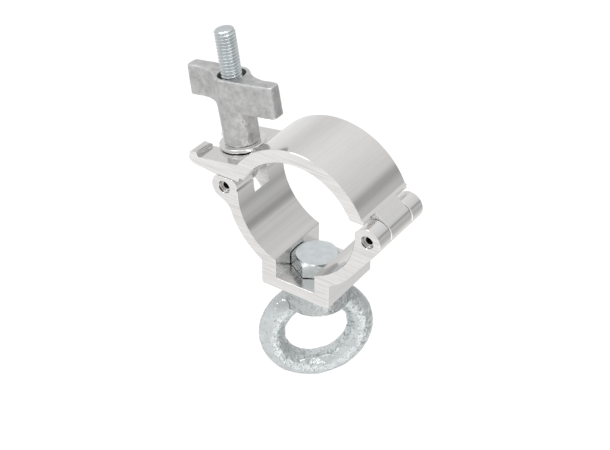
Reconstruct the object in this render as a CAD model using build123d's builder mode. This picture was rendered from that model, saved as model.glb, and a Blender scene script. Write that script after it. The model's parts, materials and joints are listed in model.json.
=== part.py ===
"""Slim tube clamp with a swing bolt, a T-handle nut and a lifting eye below.

Frame, in millimetres: the origin is the centre of the saddle's tube seat.
+Y runs along the tube, +X towards the hinge, +Z up. The clamp hangs from its tube.
"""
import os
from math import cos, hypot, radians, sin, tan

from build123d import *

# ---------------------------------------------------------------- driving dimensions
WIDTH = 30.0                  # length of both extrusion slices along the tube
SEAT_R = 25.9                 # tube seat, for tubes of 48 to 51 mm

# saddle
ARM_R = 30.8                  # outside of the saddle's curved arms
BASE_HALF = 15.2              # half width of the base block
BASE_TOP = -22.0
BASE_BOTTOM = -37.5
BASE_ROUND = 0.8
CHANNEL_HALF = 8.8            # channel that holds the hexagon head
CHANNEL_FLOOR = -32.7
CHANNEL_ROUND = 0.25
ARM_TO_BASE_ROUND = 2.0
BURR_ROUND = 0.3              # broken edges
SAWN_EDGE = 0.15              # broken edges round the sawn ends

# hinge, on the +X side
HINGE_X, HINGE_Z = 31.1, -0.4
KNUCKLE_R = 5.5
JAW_KNUCKLE_W = 14.2          # middle knuckle, on the jaw
KNUCKLE_GAP = 0.3             # side gap between knuckles
KNUCKLE_CLEAR = 0.5           # round gap between a knuckle and the other slice
KNUCKLE_CHAMFER = 0.35
WEB_ANGLE = -37.0             # outer tangent of the right arm, degrees

# ear and swing bolt, on the -X side
PIVOT_X, PIVOT_Z = -32.1, -0.2
EAR_R = 5.6
EAR_TOP = 4.2                 # flat on top of the ear, which stops the jaw
EAR_INNER_X = -26.4
EAR_INNER_ROUND = 2.2
EAR_TO_ARM_ROUND = 6.5
EAR_SLOT_W = 9.2
EAR_SLOT_FOOT = (-24.9, -4.6)   # inner end of the slot's slanted floor
EAR_SLOT_SLANT = 56.0         # floor's slope down and outwards, degrees
EAR_SLOT_DROP = 9.0           # how far the floor falls, past the outside of the arm
BOLT_LEAN = 8.9               # degrees, towards -X

# spring pins
PIN_R = 2.54
PIN_HOLE_R = 2.55             # where the pin is tight
PIN_RUN_R = 2.60              # where a piece turns on the pin
PIN_HOLE_CHAMFER = 0.15
PIN_WALL = 1.0
PIN_SLIT = 0.9
PIN_LENGTH = 26.6
PIN_CHAMFER = 0.25

# jaw, drawn fully closed with no tube in the clamp
JAW_CLOSE = 9.1               # degrees past the position where it wraps a 51 mm tube
JAW_R = 31.2                  # outside of the jaw's arch
JAW_END_Z = 6.3               # flat end of the arch above the hinge
LAND_START = (28.3, 8.5)      # where the arch meets the flat land over the hinge
LAND_END = (34.4, 4.0)        # where the land runs into the knuckle
TONGUE_TIP = (-25.4, 4.4)
TONGUE_TOP_ROOT = (-25.4, 11.93)
TONGUE_ROOT_ROUND = 1.6
LIP_X = -44.4                 # inner side of the upturned lips
LIP_TOP = 10.4
LIP_ROUND = 0.7
LIP_INNER_ROUND = 0.5
LIP_SIDE_ROUND = 1.2          # lip corners beside the slot
FORK_SLOT_W = 10.6
FORK_SLOT_END_X = -24.6       # closed end of the fork's slot

# swing bolt, washer and T nut, measured along the bolt from its pivot
M8_R = 4.0
BOLT_END = 57.9
BOLT_CHAMFER = 0.7
WASHER_R = 9.0
WASHER_BORE_R = 4.2
WASHER_T = 1.5
WASHER_S = 11.3               # underside of the washer
WASHER_ROUND = 0.4
NUT_S = 12.85                 # underside of the T nut's barrel
NUT_BAR_S = 27.9              # underside of its arms
NUT_TOP_S = 40.2
NUT_BARREL_R1 = 6.75          # barrel at the washer
NUT_BARREL_R2 = 7.15          # barrel at the arms, and the arms' outer faces
NUT_HALF_LENGTH = 22.95
NUT_ARM_INNER = 0.85          # inner face of an arm, from the bolt's axis
NUT_SWEEP_R = 16.0            # hollow curve from an arm's inner face to the barrel
NUT_RECESS_R = 5.45
NUT_RECESS_DEPTH = 7.0
NUT_BORE_R = 4.05
NUT_DRAFT = 1.2               # degrees
NUT_CORNER = 1.6
NUT_EDGE = 0.5

# hexagon screw and eye nut
M10_R = 5.0
HEX_AF = 17.0
HEX_H = 6.4
HEX_FACE_R = 8.1              # flat circle on the head, inside the 30 degree chamfer
SCREW_LENGTH = 16.0
SCREW_CHAMFER = 0.8
BASE_HOLE_R = 5.25
COLLAR_R = 13.0
COLLAR_H = 10.3
COLLAR_ROUND = 0.8
RING_R = 17.95                # centre line of the ring's section
RING_SECTION_R = 5.2
RING_Z = -62.7
RING_YAW = 46.0               # plane of the ring, degrees from the XZ plane
RING_LAND_R = 12.95           # narrow trimmed band inside the ring
EYE_BORE_R = 5.02

os.makedirs("parts", exist_ok=True)


def save(part, name):
    """Label a finished piece and write it as one STEP file."""
    part.label = name
    export_step(part, f"parts/{name}.step")


def corner(sketch, x, z):
    """The sketch's vertex nearest to (x, z)."""
    return sketch.vertices().sort_by_distance((x, z, 0))[0]


def along_bolt(s):
    """Plane square to the swing bolt at distance s from its pivot, local x towards +X."""
    lean = radians(BOLT_LEAN)
    axis = Vector(-sin(lean), 0, cos(lean))
    point = Vector(PIVOT_X, 0, PIVOT_Z) + axis * s
    return Plane(origin=point, x_dir=(cos(lean), 0, sin(lean)), z_dir=axis)


def y_hole(x, z, radius, length):
    """Cut a round hole along Y, centred on the XZ plane."""
    with BuildSketch(Plane.XZ) as hole:
        with Locations((x, z)):
            Circle(radius)
    extrude(hole.sketch, amount=length / 2, both=True, mode=Mode.SUBTRACT)


def break_ends(piece):
    """Break the sharp edges that the saw leaves round both end faces of a slice."""
    ends = piece.faces().sort_by(Axis.Y)
    chamfer(ends[0].edges() + ends[-1].edges(), SAWN_EDGE)


def knuckle_rims(piece, end_y):
    """The hinge knuckle's round edges at y = end_y and y = -end_y."""
    rims = piece.edges().filter_by(GeomType.CIRCLE)
    rims = rims.filter_by(lambda e: abs(e.radius - KNUCKLE_R) < 0.01)
    return rims.filter_by(lambda e: abs(abs((e @ 0.5).Y) - end_y) < 0.01)


# ---------------------------------------------------------------- saddle
web_dir = (cos(radians(WEB_ANGLE)), sin(radians(WEB_ANGLE)))
web = [
    (0.9 * ARM_R * web_dir[0], 0.9 * ARM_R * web_dir[1]),
    (ARM_R * web_dir[0], ARM_R * web_dir[1]),
    (HINGE_X + KNUCKLE_R * web_dir[0], HINGE_Z + KNUCKLE_R * web_dir[1]),
    (HINGE_X, HINGE_Z),
]
foot_x, foot_z = EAR_SLOT_FOOT
ear_outside = PIVOT_X - 2 * EAR_R
ear_slot = [
    (foot_x, 2 * EAR_R),
    (foot_x, foot_z),
    (foot_x - EAR_SLOT_DROP / tan(radians(EAR_SLOT_SLANT)), foot_z - EAR_SLOT_DROP),
    (ear_outside, foot_z - EAR_SLOT_DROP),
    (ear_outside, 2 * EAR_R),
]
channel_height = 12.0

with BuildPart() as saddle:
    with BuildSketch(Plane.XZ) as profile:
        Circle(ARM_R)
        with Locations((0, ARM_R)):
            Rectangle(3 * ARM_R, 2 * ARM_R, mode=Mode.SUBTRACT)
        with Locations((0, (BASE_TOP + BASE_BOTTOM) / 2)):
            Rectangle(2 * BASE_HALF, BASE_TOP - BASE_BOTTOM)
        with Locations((PIVOT_X, PIVOT_Z)):
            Circle(EAR_R)
        with Locations(((PIVOT_X + EAR_INNER_X) / 2, EAR_TOP / 2)):
            Rectangle(EAR_INNER_X - PIVOT_X, EAR_TOP)
        with Locations((HINGE_X, HINGE_Z)):
            Circle(KNUCKLE_R)
        Polygon(*web, align=None)
        Circle(SEAT_R, mode=Mode.SUBTRACT)
        with Locations((PIVOT_X, EAR_TOP + EAR_R)):
            Rectangle(4 * EAR_R, 2 * EAR_R, mode=Mode.SUBTRACT)
        with Locations((0, CHANNEL_FLOOR + channel_height / 2)):
            Rectangle(2 * CHANNEL_HALF, channel_height, mode=Mode.SUBTRACT)
        fillet(corner(profile, -30.1, -5.4), EAR_TO_ARM_ROUND)
        fillet(corner(profile, EAR_INNER_X, EAR_TOP), EAR_INNER_ROUND)
        fillet(corner(profile, PIVOT_X - 3.5, EAR_TOP), BURR_ROUND)
        for side in (-1, 1):
            fillet(corner(profile, side * BASE_HALF, -26.4), ARM_TO_BASE_ROUND)
            fillet(corner(profile, side * BASE_HALF, BASE_BOTTOM), BASE_ROUND)
            fillet(corner(profile, side * CHANNEL_HALF, CHANNEL_FLOOR), CHANNEL_ROUND)
            fillet(corner(profile, side * CHANNEL_HALF, -24.4), BURR_ROUND)
    extrude(amount=WIDTH / 2, both=True)
    break_ends(saddle)
    # slot for the swing bolt, right through the ear and slanting out through the arm
    with BuildSketch(Plane.XZ):
        Polygon(*ear_slot, align=None)
    extrude(amount=EAR_SLOT_W / 2, both=True, mode=Mode.SUBTRACT)
    # room for the jaw's knuckle
    y_hole(HINGE_X, HINGE_Z, KNUCKLE_R + KNUCKLE_CLEAR, JAW_KNUCKLE_W + 2 * KNUCKLE_GAP)
    chamfer(knuckle_rims(saddle, JAW_KNUCKLE_W / 2 + KNUCKLE_GAP), KNUCKLE_CHAMFER)
    # pin holes, and the hole for the screw
    for x, z in ((HINGE_X, HINGE_Z), (PIVOT_X, PIVOT_Z)):
        y_hole(x, z, PIN_HOLE_R, 2 * WIDTH)
    rims = saddle.edges().filter_by(GeomType.CIRCLE)
    rims = rims.filter_by(lambda e: abs(e.radius - PIN_HOLE_R) < 0.01)
    chamfer(rims.group_by(Axis.Y)[0] + rims.group_by(Axis.Y)[-1], PIN_HOLE_CHAMFER)
    with BuildSketch(Plane.XY.offset(BASE_BOTTOM - 1)):
        Circle(BASE_HOLE_R)
    extrude(amount=8, mode=Mode.SUBTRACT)
save(saddle.part, "saddle")

# ---------------------------------------------------------------- jaw
close = radians(JAW_CLOSE)
hinge_to_centre = hypot(HINGE_X, HINGE_Z)
arch_centre = (
    HINGE_X - hinge_to_centre * cos(close),
    HINGE_Z - hinge_to_centre * sin(close),
)
tongue_slope = tan(radians(BOLT_LEAN))
lip_foot_z = TONGUE_TOP_ROOT[1] - tongue_slope * (TONGUE_TOP_ROOT[0] - LIP_X)
tongue = [
    TONGUE_TIP,
    (-37.0, 4.4),
    (-46.7, 5.5),
    (-48.4, 7.2),
    (-47.8, LIP_TOP),
    (LIP_X, LIP_TOP),
    (LIP_X, lip_foot_z),
    TONGUE_TOP_ROOT,
    (-23.6, 10.0),
]
arch_end = [(20.0, 16.0), (20.0, JAW_END_Z), (29.2, JAW_END_Z), (29.4, 7.7), LAND_START]
hinge_web = [
    LAND_START, LAND_END, (HINGE_X, HINGE_Z), (25.8, 1.2), (24.2, JAW_END_Z), (25.0, 9.0),
]

with BuildPart() as jaw:
    with BuildSketch(Plane.XZ) as profile:
        with Locations(arch_centre):
            Circle(JAW_R)
        with Locations((0, JAW_END_Z - JAW_R)):
            Rectangle(3 * JAW_R, 2 * JAW_R, mode=Mode.SUBTRACT)
        Polygon(*arch_end, align=None)
        Polygon(*tongue, align=None)
        with Locations(arch_centre):
            Circle(SEAT_R, mode=Mode.SUBTRACT)
        fillet(corner(profile, *TONGUE_TOP_ROOT), TONGUE_ROOT_ROUND)
        fillet(corner(profile, LIP_X, lip_foot_z), LIP_INNER_ROUND)
        fillet(corner(profile, LIP_X, LIP_TOP), LIP_ROUND)
        fillet(corner(profile, -47.8, LIP_TOP), LIP_ROUND)
        fillet(corner(profile, -48.4, 7.2), LIP_ROUND)
        fillet(corner(profile, -46.7, 5.5), LIP_ROUND)
        fillet(corner(profile, *TONGUE_TIP), BURR_ROUND)
    extrude(amount=WIDTH / 2, both=True)
    break_ends(jaw)
    # middle knuckle and the web that joins it to the arch
    with BuildSketch(Plane.XZ):
        Polygon(*hinge_web, align=None)
        with Locations((HINGE_X, HINGE_Z)):
            Circle(KNUCKLE_R)
    extrude(amount=JAW_KNUCKLE_W / 2, both=True)
    chamfer(knuckle_rims(jaw, JAW_KNUCKLE_W / 2), KNUCKLE_CHAMFER)
    # fork slot, open at the tongue's end
    with BuildSketch(Plane.XY):
        with Locations((FORK_SLOT_END_X - FORK_SLOT_W / 2, 0)):
            Circle(FORK_SLOT_W / 2)
            Rectangle(40, FORK_SLOT_W, align=(Align.MAX, Align.CENTER))
    extrude(amount=20, mode=Mode.SUBTRACT)
    # rounded corners where the lips end beside the slot
    with BuildSketch(Plane.YZ.offset(LIP_X)):
        for side in (-1, 1):
            slot_side = side * FORK_SLOT_W / 2
            with Locations((slot_side + side * LIP_SIDE_ROUND / 2, LIP_TOP - LIP_SIDE_ROUND / 2)):
                Rectangle(LIP_SIDE_ROUND, LIP_SIDE_ROUND)
            with Locations((slot_side + side * LIP_SIDE_ROUND, LIP_TOP - LIP_SIDE_ROUND)):
                Circle(LIP_SIDE_ROUND, mode=Mode.SUBTRACT)
    extrude(amount=10, both=True, mode=Mode.SUBTRACT)
    y_hole(HINGE_X, HINGE_Z, PIN_RUN_R, 2 * WIDTH)
save(jaw.part, "jaw")


# ---------------------------------------------------------------- spring pins
def spring_pin(x, z, name):
    """Slotted tube, its slit turned up and away from the load."""
    with BuildPart() as pin:
        with BuildSketch(Plane.XZ):
            with Locations((x, z)):
                Circle(PIN_R)
        extrude(amount=PIN_LENGTH / 2, both=True)
        chamfer(pin.edges().filter_by(GeomType.CIRCLE), PIN_CHAMFER)
        y_hole(x, z, PIN_R - PIN_WALL, 2 * PIN_LENGTH)
        with BuildSketch(Plane.XZ):
            with Locations(Location((x, z, 0), 120)):
                Rectangle(2 * PIN_R, PIN_SLIT, align=(Align.MIN, Align.CENTER))
        extrude(amount=PIN_LENGTH, both=True, mode=Mode.SUBTRACT)
    save(pin.part, name)


spring_pin(HINGE_X, HINGE_Z, "hinge_pin")
spring_pin(PIVOT_X, PIVOT_Z, "pivot_pin")

# ---------------------------------------------------------------- swing bolt
# A drilled M8 rod, its lower end rounded about the pivot.
pivot_plane = along_bolt(0)
bolt_axis = Axis(pivot_plane.origin, pivot_plane.z_dir)
with BuildPart() as swing_bolt:
    with BuildSketch(Plane(pivot_plane.origin, x_dir=pivot_plane.x_dir, z_dir=(0, -1, 0))):
        with BuildLine():
            CenterArc((0, 0), M8_R, -90, 90)
            Polyline(
                (M8_R, 0),
                (M8_R, BOLT_END - BOLT_CHAMFER),
                (M8_R - BOLT_CHAMFER, BOLT_END),
                (0, BOLT_END),
                (0, -M8_R),
            )
        make_face()
    revolve(axis=bolt_axis)
    y_hole(PIVOT_X, PIVOT_Z, PIN_RUN_R, 2 * WIDTH)
save(swing_bolt.part, "swing_bolt")

# ---------------------------------------------------------------- washer
with BuildPart() as washer:
    with BuildSketch(along_bolt(WASHER_S)):
        Circle(WASHER_R)
        Circle(WASHER_BORE_R, mode=Mode.SUBTRACT)
    extrude(amount=WASHER_T)
    rims = washer.edges().filter_by(GeomType.CIRCLE)
    rims = rims.filter_by(lambda e: e.radius > WASHER_BORE_R + 0.01)
    fillet(rims, WASHER_ROUND)
save(washer.part, "washer")

# ---------------------------------------------------------------- T nut
# The two arms leave the barrel on opposite sides, so the plan is a long S. Each arm's
# inner face runs through a hollow sweep into the barrel.
sweep_y = NUT_SWEEP_R - NUT_ARM_INNER
sweep_x = ((NUT_SWEEP_R + NUT_BARREL_R2) ** 2 - sweep_y ** 2) ** 0.5
touch = NUT_BARREL_R2 / (NUT_SWEEP_R + NUT_BARREL_R2)
bar_height = NUT_TOP_S - NUT_BAR_S

with BuildPart() as t_nut:
    with BuildSketch(along_bolt(NUT_BAR_S)):
        with BuildLine():
            for sign in (1, -1):
                arm_face_end = (sign * sweep_x, -sign * NUT_ARM_INNER)
                touch_point = (sign * touch * sweep_x, sign * touch * sweep_y)
                Polyline(
                    (0, -sign * NUT_BARREL_R2),
                    (sign * NUT_HALF_LENGTH, -sign * NUT_BARREL_R2),
                    (sign * NUT_HALF_LENGTH, -sign * NUT_ARM_INNER),
                    arm_face_end,
                )
                TangentArc(arm_face_end, touch_point, tangent=(-sign, 0))
                TangentArc((0, sign * NUT_BARREL_R2), touch_point, tangent=(sign, 0))
        make_face()
    extrude(amount=bar_height, taper=NUT_DRAFT)
    steep = t_nut.edges().filter_by(lambda e: abs(e.length - bar_height) < 0.1)
    fillet(steep.sort_by_distance(along_bolt(NUT_BAR_S).origin)[-4:], NUT_CORNER)
    ends = t_nut.faces().filter_by(bolt_axis).sort_by(bolt_axis)
    fillet(ends[-1].edges() + ends[0].edges(), NUT_EDGE)
    with BuildSketch(along_bolt(NUT_S)):
        Circle(NUT_BARREL_R1)
    with BuildSketch(along_bolt(NUT_BAR_S + 1)):
        Circle(NUT_BARREL_R2 - 0.05)
    loft()
    with BuildSketch(along_bolt(NUT_S - 1)):
        Circle(NUT_BORE_R)
    extrude(amount=60, mode=Mode.SUBTRACT)
    with BuildSketch(along_bolt(NUT_TOP_S - NUT_RECESS_DEPTH)):
        Circle(NUT_RECESS_R)
    extrude(amount=20, mode=Mode.SUBTRACT)
save(t_nut.part, "t_nut")

# ---------------------------------------------------------------- hexagon screw
head_top = CHANNEL_FLOOR + HEX_H
cone_r = 10.5                 # a little outside the head's corners
cone_drop = (cone_r - HEX_FACE_R) * tan(radians(30))
with BuildPart() as clamp_bolt:
    with BuildSketch(Plane.XY.offset(CHANNEL_FLOOR)):
        RegularPolygon(HEX_AF / 2, 6, major_radius=False, rotation=30)
    extrude(amount=HEX_H)
    with BuildSketch(Plane.XZ):
        with BuildLine():
            Polyline(
                (0, CHANNEL_FLOOR),
                (cone_r, CHANNEL_FLOOR),
                (cone_r, head_top - cone_drop),
                (HEX_FACE_R, head_top),
                (0, head_top),
                close=True,
            )
        make_face()
    revolve(axis=Axis.Z, mode=Mode.INTERSECT)
    with BuildSketch(Plane.XY.offset(CHANNEL_FLOOR)):
        Circle(M10_R)
    extrude(amount=-SCREW_LENGTH)
    chamfer(clamp_bolt.edges().sort_by(Axis.Z)[0], SCREW_CHAMFER)
save(clamp_bolt.part, "clamp_bolt")

# ---------------------------------------------------------------- eye nut
yaw = radians(RING_YAW)
ring_plane = Plane(
    origin=(0, 0, RING_Z), x_dir=(cos(yaw), sin(yaw), 0), z_dir=(-sin(yaw), cos(yaw), 0)
)
with BuildPart() as eye_nut:
    with BuildSketch(Plane.XY.offset(BASE_BOTTOM)):
        Circle(COLLAR_R)
    extrude(amount=-COLLAR_H)
    fillet(eye_nut.edges().sort_by(Axis.Z)[0], COLLAR_ROUND)
    with BuildSketch(Plane(ring_plane.origin, x_dir=ring_plane.x_dir, z_dir=(0, 0, 1))):
        with Locations((RING_R, 0)):
            Circle(RING_SECTION_R)
    revolve(axis=Axis(ring_plane.origin, ring_plane.z_dir))
    with BuildSketch(ring_plane):
        Circle(RING_LAND_R)
    extrude(amount=2 * RING_SECTION_R, both=True, mode=Mode.SUBTRACT)
    with BuildSketch(Plane.XY.offset(BASE_BOTTOM)):
        Circle(EYE_BORE_R)
    extrude(amount=-SCREW_LENGTH, mode=Mode.SUBTRACT)
save(eye_nut.part, "eye_nut")
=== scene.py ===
"""Slim tube clamp with a swing bolt, a T-handle nut and a lifting eye, hung over a pale floor.

Metres, in the model's frame: the origin is the centre of the saddle's tube seat, +Y runs
along the tube, +X towards the hinge and +Z up. Named sizes and the detailed meshes are in
millimetres until a piece is finished.
"""
import json
from math import atan2, cos, pi, radians, sin, tan

import bmesh
import bpy
from mathutils import Matrix, Vector, noise


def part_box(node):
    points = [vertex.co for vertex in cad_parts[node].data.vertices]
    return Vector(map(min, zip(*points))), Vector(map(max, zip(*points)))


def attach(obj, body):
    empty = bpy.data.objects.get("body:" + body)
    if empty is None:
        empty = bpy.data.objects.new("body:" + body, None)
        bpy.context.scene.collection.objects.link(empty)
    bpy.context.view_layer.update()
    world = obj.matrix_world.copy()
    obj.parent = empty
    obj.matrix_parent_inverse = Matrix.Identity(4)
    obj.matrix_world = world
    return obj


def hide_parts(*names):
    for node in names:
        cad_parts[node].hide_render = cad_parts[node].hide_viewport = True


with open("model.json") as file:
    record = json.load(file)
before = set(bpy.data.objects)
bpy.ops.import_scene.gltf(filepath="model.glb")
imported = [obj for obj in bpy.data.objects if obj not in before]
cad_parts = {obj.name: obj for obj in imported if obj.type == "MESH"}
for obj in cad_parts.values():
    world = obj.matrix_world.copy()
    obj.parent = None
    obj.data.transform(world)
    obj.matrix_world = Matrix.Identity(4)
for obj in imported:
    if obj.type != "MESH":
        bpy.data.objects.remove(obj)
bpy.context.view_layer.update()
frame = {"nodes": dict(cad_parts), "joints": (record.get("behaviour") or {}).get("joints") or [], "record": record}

MM = 0.001
scene = bpy.context.scene
joints = {joint["name"]: joint for joint in frame["joints"]}
mounts = {mount["name"]: mount for mount in frame["record"]["mounts"]}

# ---------------------------------------------------------------- swing bolt, in millimetres
PIVOT = Vector(joints["bolt_swing"]["pos_m"]) / MM
BOLT_AXIS = Vector(joints["nut_travel"]["axis"])
BOLT_SIDE = Vector((BOLT_AXIS.z, 0, -BOLT_AXIS.x))
BOLT_FRONT = BOLT_AXIS.cross(BOLT_SIDE)
ROD_R = 3.97                  # M8, a touch inside the CAD's plain cylinder
ROD_END = 57.9                # from the pivot
TIP_R = 3.35                  # flat at the bolt's tip
TIP_SLOPE = 0.9               # radius gained for each millimetre below the tip
PITCH = 1.25
THREAD_START = 9.5            # plain below this, measured from the pivot
THREAD_FADE = 1.5
THREAD_STEPS = 48             # divisions of one turn
# one pitch of the rolled thread: (share of the pitch, radius)
THREAD_PROFILE = (
    (0.00, 3.92), (0.03, 3.97), (0.11, 3.97), (0.14, 3.92),
    (0.42, 3.36), (0.50, 3.28), (0.62, 3.28), (0.70, 3.36),
)
WELD = 1e-4                   # points nearer than this become one
SLIVER = 1e-5                 # edges shorter than this go
CROSS_HOLE_R = 2.62
DRILL_LENGTH = 20
DRILL_STEPS = 64

# ---------------------------------------------------------------- T nut, in millimetres
NUT_VOXEL = 0.25
NUT_SMOOTHING = 4
NUT_BORE_R = 4.15
NUT_RECESS_R = 5.8            # nothing inside this is lumpy
NUT_LUMPS = ((0.12, 0.13), (0.09, 0.45))      # (height, lumps to the millimetre)
NUT_SWELL = 0.04              # makes up for what smoothing takes off

# ---------------------------------------------------------------- eye nut, in millimetres
EYE = mounts["lifting_eye"]
RING_CENTRE = Vector(EYE["pos_m"]) / MM
RING_AXIS = Vector(EYE["axis"])
RING_SIDE = Vector((RING_AXIS.y, -RING_AXIS.x, 0))
EYE_VOXEL = 0.36
EYE_SMOOTHING = 4
EYE_LUMPS = ((0.16, 0.17), (0.16, 0.42))      # (height, lumps to the millimetre)
EYE_SWELL = -0.03
FLASH_R = EYE["dims"]["r_mm"]                 # trimmed band inside the ring
FLASH_HALF_WIDTH = 1.35
FLASH_REACH = 0.9             # skin this far outside the band is drawn into it
FLASH_TOP = 12.5              # the band ends this far above the ring's centre
FLASH_DEPTH = 0.36            # between its highest and lowest trimmed step
FLASH_LEVELS = 5
FLASH_MIDDLE = 0.4            # share of the depth that lies outside FLASH_R
FLASH_RATES = (3.1, 5.3)      # steps to the radian, in two overlaid series
FLASH_OFFSET = 2.0            # start of the second series, in steps
SCREW_CLEAR_R = 5.1
COLLAR_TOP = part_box("eye_nut")[1].z / MM      # also the underside of the saddle's base
COLLAR_FACE = 0.25            # thickness of the turned face on top of the collar
COLLAR_BOTTOM = COLLAR_TOP - 10.3

# ---------------------------------------------------------------- hexagon screw, in millimetres
HEX_AF = 17.0
HEX_STEPS = 96
HEX_FACE_R = 8.1
HEX_CHAMFER = radians(30)
HEX_FOOT_H = 0.25             # small bevel below the flats
HEX_FOOT_IN = 0.2
WASHER_FACE_R = 7.9
WASHER_FACE_H = 0.28
SCREW_R = 4.97
SCREW_TIP = 0.8               # chamfer at the screw's tip
BASE_THICKNESS = 4.8

# ---------------------------------------------------------------- camera
CAMERA_AT = (229.9, -348.2, 277.3)            # millimetres
CAMERA_RIGHT = (0.8276, 0.5613, 0.0022)
CAMERA_DOWN = (0.3224, -0.4722, -0.8204)
CAMERA_LENS = 79.54
CAMERA_SENSOR = 36.0


def make_camera():
    """Looks down at the clamp's front end from the hinge side."""
    data = bpy.data.cameras.new("camera")
    data.sensor_width = CAMERA_SENSOR
    data.lens = CAMERA_LENS
    camera = bpy.data.objects.new("camera", data)
    right = Vector(CAMERA_RIGHT).normalized()
    up = -Vector(CAMERA_DOWN)
    back = right.cross(up).normalized()
    up = back.cross(right)
    turn = Matrix((right, up, back)).transposed().to_4x4()
    camera.matrix_world = Matrix.Translation(Vector(CAMERA_AT) * MM) @ turn
    scene.collection.objects.link(camera)
    scene.camera = camera


# ---------------------------------------------------------------- node helpers
class Graph:
    """A node tree that is written from top to bottom."""

    def __init__(self, tree):
        self.tree = tree

    def add(self, kind, inputs=None, **settings):
        """A node with its settings, and its inputs set to values or linked to sockets."""
        node = self.tree.nodes.new(kind)
        for key, value in settings.items():
            setattr(node, key, value)
        for key, value in (inputs or {}).items():
            if isinstance(value, bpy.types.NodeSocket):
                self.tree.links.new(value, node.inputs[key])
            else:
                node.inputs[key].default_value = value
        return node

    def ramp(self, factor, stops):
        """Colour ramp; each stop is a position with a grey value or a colour."""
        node = self.add("ShaderNodeValToRGB", {"Fac": factor})
        elements = node.color_ramp.elements
        while len(elements) < len(stops):
            elements.new(0.5)
        for element, (position, value) in zip(elements, stops):
            element.position = position
            grey = (value, value, value) if isinstance(value, float) else value
            element.color = (*grey, 1.0)
        return node.outputs["Color"]

    def spread(self, value, low, high, start=0.0, end=1.0, easing="LINEAR"):
        """A value running from start to end, spread between low and high."""
        inputs = {"Value": value, "From Min": start, "From Max": end, "To Min": low, "To Max": high}
        return self.add("ShaderNodeMapRange", inputs, interpolation_type=easing).outputs["Result"]

    def math(self, operation, a, b=0.0):
        return self.add("ShaderNodeMath", {0: a, 1: b}, operation=operation).outputs[0]

    def vector_math(self, operation, a, b):
        """Distance or dot product of two vectors."""
        return self.add("ShaderNodeVectorMath", {0: a, 1: b}, operation=operation).outputs["Value"]

    def weighted(self, *terms):
        """Sum of values, each times its weight."""
        parts = [self.math("MULTIPLY", value, weight) for value, weight in terms]
        total = parts[0]
        for part in parts[1:]:
            total = self.math("ADD", total, part)
        return total

    def choose(self, mask, a, b):
        """Number a where the mask is 0, and b where it is 1."""
        return self.add("ShaderNodeMix", {0: mask, 2: a, 3: b}).outputs[0]

    def choose_colour(self, mask, a, b, blend="MIX"):
        """Colour a where the mask is 0, and b where it is 1."""
        inputs = {0: mask, 6: a, 7: b}
        node = self.add("ShaderNodeMix", inputs, data_type="RGBA", blend_type=blend)
        return node.outputs[2]

    def multiplied(self, a, b):
        return self.choose_colour(1.0, a, b, "MULTIPLY")

    def axis(self, vector, letter):
        return self.add("ShaderNodeSeparateXYZ", {0: vector}).outputs[letter]

    def place(self, vector, scale, turn=(0, 0, 0)):
        """Coordinates scaled and turned for a texture."""
        inputs = {"Vector": vector, "Scale": scale, "Rotation": turn}
        return self.add("ShaderNodeMapping", inputs).outputs["Vector"]

    def noise(self, vector, scale, detail=2.0, roughness=0.5):
        inputs = {"Vector": vector, "Scale": scale, "Detail": detail, "Roughness": roughness}
        return self.add("ShaderNodeTexNoise", inputs).outputs["Fac"]

    def cells(self, vector, scale):
        """Distance from the nearest of many scattered points."""
        inputs = {"Vector": vector, "Scale": scale}
        return self.add("ShaderNodeTexVoronoi", inputs).outputs["Distance"]


class Metal(Graph):
    """The node tree of a metal material, with its coordinates in millimetres."""

    def __init__(self, name):
        self.material = bpy.data.materials.new(name)
        self.material.use_nodes = True
        super().__init__(self.material.node_tree)
        self.shader = self.tree.nodes["Principled BSDF"]
        self.shader.inputs["Metallic"].default_value = 1.0
        coordinates = self.add("ShaderNodeTexCoord")
        self.normal = coordinates.outputs["Normal"]
        self.millimetres = self.place(coordinates.outputs["Object"], (1 / MM, 1 / MM, 1 / MM))

    def edges_for_highlight_and_wear(self):
        """0 on faces and 1 on outward edges; the edges get a painted highlight."""
        pointiness = self.add("ShaderNodeNewGeometry").outputs["Pointiness"]
        flat, wear_and_painted_light = EDGE_POINTINESS
        edge = self.ramp(pointiness, [(flat, 0.0), (wear_and_painted_light, 1.0)])
        return self.add("ShaderNodeSeparateColor", {0: edge}).outputs[0]

    def finished(self, colour, roughness, height):
        """The material with this colour, roughness and surface height in millimetres."""
        inputs = {"Height": height, "Distance": MM, "Strength": 1.0}
        bump = self.add("ShaderNodeBump", inputs).outputs["Normal"]
        sources = {"Base Color": colour, "Roughness": roughness, "Normal": bump}
        for socket, source in sources.items():
            self.tree.links.new(source, self.shader.inputs[socket])
        return self.material


# ---------------------------------------------------------------- materials
SAWN_NORMAL = 0.85            # a face was sawn if its normal's Y is above this
SIDE_TONES = ((0.795, 0.787, 0.78), (0.845, 0.838, 0.833))
SIDE_TINTS = ((0.95, 0.95, 0.96), (1.0, 0.99, 0.975))
END_TONES = ((0.81, 0.795, 0.78), (0.955, 0.945, 0.93))
SEAT_R = mounts["tube_seat"]["dims"]["r_mm"]
SEAT_MARGIN = 0.2
SEAT_SHADE_FROM = -16.0         # painted shade in the seat starts here and deepens downward
SEAT_SHADE_FULL = -20.0
# tone of the painted shade at the bottom of the tube seat
SEAT_SHADE_TONE = (0.60, 0.59, 0.585, 1)
BASE_TOP = -24.5              # the base block is rougher below this

CAST_TONES = ((0.48, 0.48, 0.477), (0.66, 0.66, 0.657))
CAST_PORE_TONE = (0.20, 0.20, 0.20, 1)
# tone of the painted highlight on the cast nut's edges
CAST_HIGHLIGHT_TONE = (0.86, 0.86, 0.86, 1)

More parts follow.
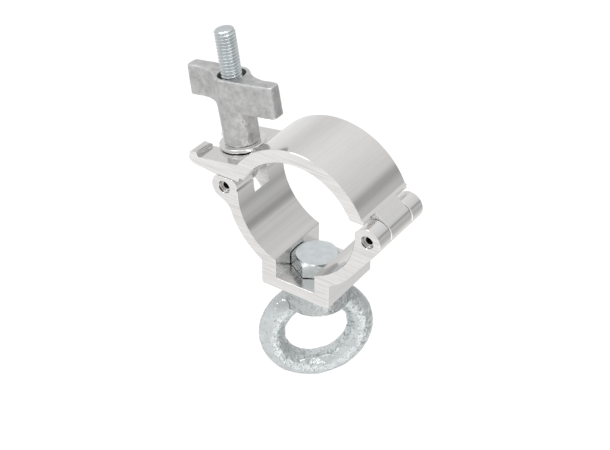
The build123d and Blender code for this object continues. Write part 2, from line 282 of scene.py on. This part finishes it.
FORGED_TONES = ((0.61, 0.65, 0.655), (0.78, 0.82, 0.825))
FORGED_PIT_TONE = (0.26, 0.27, 0.27, 1)
# tone of the painted highlight on the forging's edges
FORGED_HIGHLIGHT_TONE = (0.82, 0.85, 0.86, 1)
# tone of the painted shade that the saddle's base casts on the collar
COLLAR_SHADE_TONE = (0.46, 0.47, 0.465, 1)
COLLAR_FROM = COLLAR_BOTTOM - 2.5             # painted shade from the saddle's base comes in from here up
COLLAR_FULL = COLLAR_BOTTOM + 1.5
EDGE_POINTINESS = (0.50, 0.56)                # of a flat face, and of an edge with the full painted highlight


def aluminium(name, saw_dip, end_tone, seat_at):
    """Extrusion with fine draw lines along Y and saw-cut ends with parallel saw lines.

    The tube seat, centred on seat_at (x and z in millimetres), is streaked and darkened by painted shade, most
    towards its bottom.
    """
    metal = Metal(name)
    facing_y = metal.math("ABSOLUTE", metal.axis(metal.normal, "Y"))
    sawn = metal.math("GREATER_THAN", facing_y, SAWN_NORMAL)
    height_mm = metal.axis(metal.millimetres, "Z")

    along_y = metal.place(metal.millimetres, (1, 0.012, 1))
    fine = metal.noise(along_y, 1.6, 4.0, 0.6)
    broad = metal.noise(along_y, 0.22, 1.0)
    streaks = metal.noise(along_y, 0.30, 2.0, 0.55)
    patches = metal.noise(metal.place(metal.millimetres, (1, 0.35, 1)), 0.16, 3.0, 0.6)
    grains = metal.noise(metal.millimetres, 2.2, 2.0)
    saw_lines = metal.place(metal.millimetres, (0.035, 0, 1), (0, radians(-saw_dip), 0))
    coarse_saw = metal.noise(saw_lines, 1.15, 2.0, 0.5)
    fine_saw = metal.noise(saw_lines, 3.2, 3.0, 0.7)
    saw = metal.weighted((coarse_saw, 0.62), (fine_saw, 0.38))

    side = metal.ramp(fine, [(0.3, SIDE_TONES[0]), (0.7, SIDE_TONES[1])])
    tint = metal.ramp(patches, [(0.3, SIDE_TINTS[0]), (0.7, SIDE_TINTS[1])])
    side = metal.multiplied(side, tint)

    # the seat: streaks, and painted shade that darkens it all over
    wear_and_painted_light = metal.multiplied(side, metal.ramp(streaks, [(0.36, 0.84), (0.60, 0.96)]))
    # painted shade, deeper towards the bottom of the seat
    seat_shade = metal.spread(height_mm, 0.0, 0.5, SEAT_SHADE_FROM, SEAT_SHADE_FULL)
    wear_and_painted_light = metal.choose_colour(seat_shade, wear_and_painted_light, SEAT_SHADE_TONE)
    seat_x, seat_z = seat_at
    across = metal.place(metal.millimetres, (1, 0, 1))
    from_seat = metal.vector_math("DISTANCE", across, (seat_x, 0, seat_z))
    in_seat = metal.math("LESS_THAN", from_seat, SEAT_R + SEAT_MARGIN)
    side = metal.choose_colour(in_seat, side, wear_and_painted_light)

    dark, light = [tuple(part * end_tone for part in tone) for tone in END_TONES]
    end = metal.ramp(saw, [(0.36, dark), (0.56, light)])
    end = metal.multiplied(end, metal.ramp(grains, [(0.28, 0.88), (0.40, 1.0)]))

    side_rough = metal.math("ADD", metal.spread(fine, 0.08, 0.13),
                            metal.spread(patches, -0.02, 0.05))
    in_base = metal.math("LESS_THAN", height_mm, BASE_TOP)
    side_rough = metal.math("ADD", side_rough, metal.math("MULTIPLY", in_base, 0.13))
    end_rough = metal.spread(saw, 0.62, 0.46)

    side_height = metal.weighted((fine, 0.0028), (broad, 0.05), (grains, 0.003))
    end_height = metal.math("MULTIPLY", saw, 0.11)
    return metal.finished(
        metal.choose_colour(sawn, side, end),
        metal.choose(sawn, side_rough, end_rough),
        metal.choose(sawn, side_height, end_height),
    )


def zinc_plate(name, colour, roughness):
    """Bright plated steel, slightly cloudy."""
    metal = Metal(name)
    cloud = metal.noise(metal.millimetres, 0.35, 4.0, 0.6)
    grain = metal.noise(metal.millimetres, 3.5, 2.0)
    dull = tuple(part * 0.88 for part in colour)
    face = metal.ramp(cloud, [(0.3, dull), (0.65, colour)])
    rough = metal.math("ADD", metal.spread(cloud, roughness + 0.06, roughness - 0.05),
                       metal.spread(grain, -0.02, 0.03))
    height = metal.weighted((grain, 0.006), (cloud, 0.012))
    return metal.finished(face, rough, height)


def cast_metal(name):
    """Dull plated casting: mottled grey, small pores, and outward edges with a painted highlight and lower
    roughness.
    """
    metal = Metal(name)
    mottle = metal.noise(metal.millimetres, 0.36, 5.0, 0.66)
    grain = metal.noise(metal.millimetres, 1.7, 3.0, 0.6)
    pores = metal.math("LESS_THAN", metal.cells(metal.millimetres, 0.55), 0.13)
    edge = metal.edges_for_highlight_and_wear()
    face = metal.ramp(mottle, [(0.34, CAST_TONES[0]), (0.64, CAST_TONES[1])])
    face = metal.choose_colour(metal.math("MULTIPLY", pores, 0.45), face, CAST_PORE_TONE)
    # painted highlight on outward edges
    face = metal.choose_colour(metal.math("MULTIPLY", edge, 0.7), face, CAST_HIGHLIGHT_TONE)
    rough = metal.math("ADD", metal.spread(mottle, 0.50, 0.33), metal.spread(grain, -0.05, 0.06))
    rough = metal.math("SUBTRACT", rough, metal.math("MULTIPLY", edge, 0.08))
    height = metal.weighted((grain, 0.10), (mottle, 0.35), (pores, -0.05))
    return metal.finished(face, rough, height)


def galvanised(name):
    """Zinc-coated forging: blue-grey, with small lumps, pits, painted highlights on its edges and painted shade on
    the collar under the saddle's base.
    """
    metal = Metal(name)
    cloud = metal.noise(metal.millimetres, 0.16, 4.0, 0.6)
    lumps = metal.noise(metal.millimetres, 0.42, 2.0, 0.45)
    grain = metal.noise(metal.millimetres, 2.4, 2.0, 0.6)
    pits = metal.ramp(metal.cells(metal.millimetres, 0.9), [(0.12, 1.0), (0.30, 0.0)])
    pits = metal.math("MULTIPLY", pits, metal.math("GREATER_THAN", cloud, 0.47))
    edge = metal.edges_for_highlight_and_wear()
    face = metal.ramp(cloud, [(0.3, FORGED_TONES[0]), (0.7, FORGED_TONES[1])])
    face = metal.choose_colour(metal.math("MULTIPLY", pits, 0.55), face, FORGED_PIT_TONE)
    # painted highlight on outward edges
    face = metal.choose_colour(metal.math("MULTIPLY", edge, 0.35), face, FORGED_HIGHLIGHT_TONE)
    height_mm = metal.axis(metal.millimetres, "Z")
    # painted shade on the collar, deepening towards the saddle's base
    collar = metal.spread(height_mm, 0.0, 0.5, COLLAR_FROM, COLLAR_FULL)
    face = metal.choose_colour(collar, face, COLLAR_SHADE_TONE)
    rough = metal.math("ADD", metal.spread(cloud, 0.27, 0.13), metal.spread(grain, -0.04, 0.05))
    height = metal.weighted((lumps, 0.95), (grain, 0.05), (pits, -0.12))
    return metal.finished(face, rough, height)


# ---------------------------------------------------------------- mesh helpers
def settled(piece):
    """Apply the piece's modifiers to its mesh."""
    evaluated = piece.evaluated_get(bpy.context.evaluated_depsgraph_get())
    mesh = bpy.data.meshes.new_from_object(evaluated)
    piece.modifiers.clear()
    piece.data = mesh
    return piece


def new_piece(name, mesh):
    piece = bpy.data.objects.new(name, mesh)
    scene.collection.objects.link(piece)
    return piece


def piece_from(name, made):
    """A piece from a bmesh, which is freed."""
    mesh = bpy.data.meshes.new(name)
    made.to_mesh(mesh)
    made.free()
    return new_piece(name, mesh)


def remeshed(name, node, voxel, smoothing):
    """A closed, evenly divided and softened copy of a CAD node, in millimetres."""
    mesh = frame["nodes"][node].data.copy()
    mesh.transform(Matrix.Scale(1 / MM, 4))
    mesh.materials.clear()
    piece = new_piece(name, mesh)
    remesh = piece.modifiers.new("remesh", "REMESH")
    remesh.mode = "VOXEL"
    remesh.voxel_size = voxel
    smooth = piece.modifiers.new("smooth", "SMOOTH")
    smooth.factor = 0.5
    smooth.iterations = smoothing
    return settled(piece)


def reshape(piece, moved):
    """Move every vertex to moved(its place, its normal)."""
    vertices = piece.data.vertices
    places = [moved(v.co.copy(), v.normal.copy()) for v in vertices]
    for vertex, place in zip(vertices, places):
        vertex.co = place


def lumpiness(point, layers):
    """Height of an uneven skin, from layers of (height, lumps to the millimetre)."""
    return sum(height * noise.noise(point * rate) for height, rate in layers)


def set_material(mesh, material):
    mesh.materials.clear()
    mesh.materials.append(material)


def finish_piece(piece, material, body, node, sharp_degrees):
    """Scale a millimetre piece to metres, and let it stand for its CAD node.

    It is shaded smooth, with sharp edges above an angle.
    """
    piece.data.transform(Matrix.Scale(MM, 4))
    piece.data.shade_smooth()
    piece.data.set_sharp_from_angle(angle=radians(sharp_degrees))
    set_material(piece.data, material)
    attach(piece, body)
    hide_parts(node)


def smoothstep(value):
    value = min(max(value, 0.0), 1.0)
    return value * value * (3 - 2 * value)


# ---------------------------------------------------------------- swing bolt
def rod_point(s, thread_r):
    """(distance along the bolt, radius) of a surface point at helix height s."""
    quarter = ROD_R * pi / 2
    if s < 0:
        turn = min(-s, quarter) / ROD_R
        return -ROD_R * sin(turn), ROD_R * cos(turn)
    if s > ROD_END:
        return ROD_END, max(0.0, TIP_R - (s - ROD_END))
    fade = smoothstep((s - THREAD_START) / THREAD_FADE)
    radius = ROD_R + (thread_r - ROD_R) * fade
    return s, min(radius, TIP_R + TIP_SLOPE * (ROD_END - s))


def threaded_rod():
    """Threaded rod on one helical grid; both ends close on the axis."""
    per_turn = len(THREAD_PROFILE)
    start = -ROD_R * pi / 2 - PITCH
    turns = int((ROD_END + TIP_R + PITCH - start) / PITCH) + 2
    levels = turns * per_turn
    made = bmesh.new()
    grid = []
    for i in range(THREAD_STEPS):
        angle = 2 * pi * i / THREAD_STEPS
        out = BOLT_SIDE * cos(angle) + BOLT_FRONT * sin(angle)
        column = []
        for level in range(levels):
            share, thread_r = THREAD_PROFILE[level % per_turn]
            height = level // per_turn + share + i / THREAD_STEPS
            s, radius = rod_point(start + PITCH * height, thread_r)
            column.append(made.verts.new(PIVOT + BOLT_AXIS * s + out * radius))
        grid.append(column)
    for i in range(THREAD_STEPS):
        wraps = i == THREAD_STEPS - 1
        shift = per_turn if wraps else 0
        following = grid[0] if wraps else grid[i + 1]
        for level in range(levels - 1 - shift):
            made.faces.new((
                grid[i][level],
                following[level + shift],
                following[level + shift + 1],
                grid[i][level + 1],
            ))
    bmesh.ops.remove_doubles(made, verts=made.verts, dist=WELD)
    bmesh.ops.dissolve_degenerate(made, edges=made.edges, dist=SLIVER)
    bmesh.ops.recalc_face_normals(made, faces=made.faces)
    return piece_from("swing_bolt_rod", made)


def cross_hole(piece):
    """Drill the hole for the pivot pin."""
    made = bmesh.new()
    place = Matrix.Translation(PIVOT) @ Matrix.Rotation(pi / 2, 4, "X")
    bmesh.ops.create_cone(
        made, cap_ends=True, segments=DRILL_STEPS, radius1=CROSS_HOLE_R, radius2=CROSS_HOLE_R,
        depth=DRILL_LENGTH, matrix=place,
    )
    drill = piece_from("drill", made)
    cut = piece.modifiers.new("drill", "BOOLEAN")
    cut.object = drill
    cut.operation = "DIFFERENCE"
    cut.solver = "EXACT"
    settled(piece)
    bpy.data.objects.remove(drill)


# ---------------------------------------------------------------- T nut
def cast_skin(point, normal):
    """Uneven outside of the T nut; its bore is kept clear of the bolt."""
    from_pivot = point - PIVOT
    along = from_pivot.dot(BOLT_AXIS)
    outward = from_pivot - BOLT_AXIS * along
    radius = outward.length
    if radius < NUT_BORE_R:
        return PIVOT + BOLT_AXIS * along + outward * (NUT_BORE_R / radius)
    if radius < NUT_RECESS_R:
        return point
    return point + normal * (lumpiness(point, NUT_LUMPS) + NUT_SWELL)


def cast_t_nut():
    """The T nut as a casting with soft edges."""
    piece = remeshed("t_nut_casting", "t_nut", NUT_VOXEL, NUT_SMOOTHING)
    reshape(piece, cast_skin)
    return piece


# ---------------------------------------------------------------- eye nut
def flash_step(angle):
    """How far the trimmed flash stands inward at an angle round the ring."""
    part = int(angle * FLASH_RATES[0]) + int(angle * FLASH_RATES[1] + FLASH_OFFSET)
    level = (part * 7 % FLASH_LEVELS) / (FLASH_LEVELS - 1)
    return FLASH_DEPTH * (level - FLASH_MIDDLE)


def forged_skin(point, normal):
    """Lumpy skin, with the trimmed flash inside the ring; the screw's bore is kept clear."""
    screw_r = point.xy.length
    if screw_r < SCREW_CLEAR_R and point.z > RING_CENTRE.z + FLASH_R:
        clear = SCREW_CLEAR_R / max(screw_r, 0.1)
        return Vector((point.x * clear, point.y * clear, point.z))
    if point.z > COLLAR_TOP - COLLAR_FACE:
        return point
    from_ring = point - RING_CENTRE
    across = from_ring.dot(RING_AXIS)
    in_plane = from_ring - RING_AXIS * across
    radius = in_plane.length
    near_band = abs(across) < FLASH_HALF_WIDTH and radius < FLASH_R + FLASH_REACH
    if near_band and from_ring.z < FLASH_TOP:
        angle = atan2(in_plane.z, in_plane.dot(RING_SIDE))
        goal = FLASH_R - flash_step(angle % (2 * pi))
        return RING_CENTRE + RING_AXIS * across + in_plane * (goal / radius)
    return point + normal * (lumpiness(point, EYE_LUMPS) + EYE_SWELL)


def forged_eye():
    """The eye nut as a forging with blended junctions."""
    piece = remeshed("eye_nut_forging", "eye_nut", EYE_VOXEL, EYE_SMOOTHING)
    reshape(piece, forged_skin)
    return piece


# ---------------------------------------------------------------- hexagon screw
def hexagon_screw():
    """Hexagon screw: cone-chamfered head, washer face below it, and the shank."""
    low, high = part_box("clamp_bolt")
    head_top = high.z / MM
    shank_end = low.z / MM
    seat = COLLAR_TOP + BASE_THICKNESS
    foot = seat + WASHER_FACE_H
    made = bmesh.new()
    rows = []
    for i in range(HEX_STEPS):
        angle = 2 * pi * i / HEX_STEPS
        flat_angle = (angle + pi / 6) % (pi / 3) - pi / 6
        side = HEX_AF / 2 / cos(flat_angle)
        drop = (side - HEX_FACE_R) * tan(HEX_CHAMFER)
        outline = [
            (HEX_FACE_R, head_top),
            (side, head_top - drop),
            (side, foot + HEX_FOOT_H),
            (side - HEX_FOOT_IN, foot),
            (WASHER_FACE_R, foot),
            (WASHER_FACE_R, seat),
            (SCREW_R, seat),
            (SCREW_R, shank_end + SCREW_TIP),
            (SCREW_R - SCREW_TIP, shank_end),
        ]
        rows.append([made.verts.new((r * cos(angle), r * sin(angle), z)) for r, z in outline])
    for row, following in zip(rows, rows[1:] + rows[:1]):
        for level in range(len(row) - 1):
            made.faces.new((row[level + 1], following[level + 1], following[level], row[level]))
    made.faces.new([row[0] for row in rows])
    made.faces.new([row[-1] for row in reversed(rows)])
    return piece_from("hexagon_screw", made)


# ---------------------------------------------------------------- light and floor, in metres
FLOOR_Z = -0.35
FLOOR_HALF = 5.0
FLOOR_TONE = (0.9, 0.9, 0.9, 1)
FLOOR_GLOW = 0.2
BACKGROUND_TONE = (1.02, 1.02, 1.02, 1)
DARK_SIDE = (0.70, 0.71, 0)   # the dim side of the studio, behind the hinge
DARK_FROM = 0.25              # cosine of the angle to DARK_SIDE where the dimming starts
DARK_FULL = 0.9
# tones of the tent from straight down (0) through the horizon (0.5) to straight up (1)
BRIGHT_TENT = (
    (0.00, 0.84), (0.24, 0.85), (0.38, 0.90), (0.50, 0.87), (0.565, 0.85), (0.65, 0.76),
    (0.73, 0.74), (0.83, 0.87), (1.00, 1.00),
)
DIM_TENT = (
    (0.00, 0.85), (0.19, 0.80), (0.25, 0.65), (0.31, 0.57), (0.39, 0.50), (0.50, 0.59),
    (0.56, 0.54), (0.595, 0.40), (0.645, 0.41), (0.675, 0.68), (0.75, 0.74),
    (0.85, 0.80), (1.00, 0.98),
)
# cards low on the hinge side: direction, cosine at the edge and where full, share, tone
STUDIO_CARDS = (
    ((0.80, 0.24, -0.55), 0.95, 0.985, 0.85, 0.28),
    ((0.70, -0.44, -0.57), 0.91, 0.975, 0.95, 1.25),
)
# name, place, size, radiance
SOFT_BOXES = (
    ("key", (-0.45, -0.55, 0.95), 0.45, 3.0),
    ("top", (-0.05, -0.05, 1.20), 0.40, 4.0),
    ("rim", (0.69, -0.28, 0.58), 0.25, 3.0),
)
LIGHT_AIM = Vector((0, 0, -0.02))


def make_floor():
    """Pale paper that the metal doesn't mirror."""
    mesh = bpy.data.meshes.new("floor")
    half = FLOOR_HALF
    corners = [(-half, -half, 0), (half, -half, 0), (half, half, 0), (-half, half, 0)]
    mesh.from_pydata(corners, [], [(0, 1, 2, 3)])
    floor = new_piece("floor", mesh)
    floor.location.z = FLOOR_Z
    floor.visible_glossy = False
    made = bpy.data.materials.new("floor_paper")
    made.use_nodes = True
    shader = made.node_tree.nodes["Principled BSDF"]
    shader.inputs["Base Color"].default_value = FLOOR_TONE
    shader.inputs["Roughness"].default_value = 0.9
    shader.inputs["Specular IOR Level"].default_value = 0.0
    shader.inputs["Emission Color"].default_value = (1, 1, 1, 1)
    shader.inputs["Emission Strength"].default_value = FLOOR_GLOW
    mesh.materials.append(made)


def make_world():
    """A light tent: bright above and in front, dim at the horizon behind the hinge."""
    world = bpy.data.worlds.new("studio")
    world.use_nodes = True
    graph = Graph(world.node_tree)
    direction = graph.add("ShaderNodeTexCoord").outputs["Generated"]
    level = graph.math("MULTIPLY", graph.axis(direction, "Z"), 0.5)
    level = graph.math("ADD", level, 0.5)
    towards_dark = graph.vector_math("DOT_PRODUCT", direction, DARK_SIDE)
    shade = graph.spread(towards_dark, 0.0, 1.0, DARK_FROM, DARK_FULL, "SMOOTHSTEP")
    tent = graph.choose_colour(shade, graph.ramp(level, BRIGHT_TENT), graph.ramp(level, DIM_TENT))
    for towards, edge, full, share, tone in STUDIO_CARDS:
        card = graph.vector_math("DOT_PRODUCT", direction, towards)
        card = graph.spread(card, 0.0, share, edge, full, "SMOOTHSTEP")
        tent = graph.choose_colour(card, tent, (tone, tone, tone, 1))
    camera_ray = graph.add("ShaderNodeLightPath").outputs["Is Camera Ray"]
    seen = graph.choose_colour(camera_ray, tent, BACKGROUND_TONE)
    graph.tree.links.new(seen, graph.tree.nodes["Background"].inputs["Color"])
    scene.world = world


def softbox(name, at, size, radiance):
    """Square area light aimed at the clamp, its brightness given as radiance."""
    data = bpy.data.lights.new(name, "AREA")
    data.size = size
    data.energy = radiance * pi * size * size
    light = bpy.data.objects.new(name, data)
    light.location = at
    light.rotation_euler = (LIGHT_AIM - Vector(at)).to_track_quat("-Z", "Y").to_euler()
    scene.collection.objects.link(light)


# ---------------------------------------------------------------- build the scene
make_camera()
make_floor()
make_world()
for soft_box in SOFT_BOXES:
    softbox(*soft_box)
scene.view_settings.view_transform = "Standard"

pin_finish = zinc_plate("pin_steel", (0.62, 0.61, 0.60), 0.28)
cad_finish = {
    "saddle": aluminium("aluminium_saddle", saw_dip=12.0, end_tone=1.0, seat_at=(0, 0)),
    "jaw": aluminium("aluminium_jaw", saw_dip=4.0, end_tone=1.02, seat_at=(0.39, -5.32)),
    "hinge_pin": pin_finish,
    "pivot_pin": pin_finish,
    "washer": zinc_plate("washer_plate", (0.86, 0.86, 0.85), 0.22),
}
for node, material in cad_finish.items():
    set_material(frame["nodes"][node].data, material)

rod = threaded_rod()
cross_hole(rod)
rod_finish = zinc_plate("zinc_thread", (0.66, 0.70, 0.715), 0.28)
finish_piece(rod, rod_finish, "swing_bolt", "swing_bolt", sharp_degrees=62)

nut = cast_t_nut()
nut_finish = cast_metal("cast_nut_plate")
finish_piece(nut, nut_finish, "t_nut", "t_nut", sharp_degrees=80)

eye = forged_eye()
eye_finish = galvanised("galvanised_forging")
finish_piece(eye, eye_finish, "root", "eye_nut", sharp_degrees=80)

screw = hexagon_screw()
screw_finish = zinc_plate("zinc_plate", (0.745, 0.79, 0.805), 0.20)
finish_piece(screw, screw_finish, "root", "clamp_bolt", sharp_degrees=20)
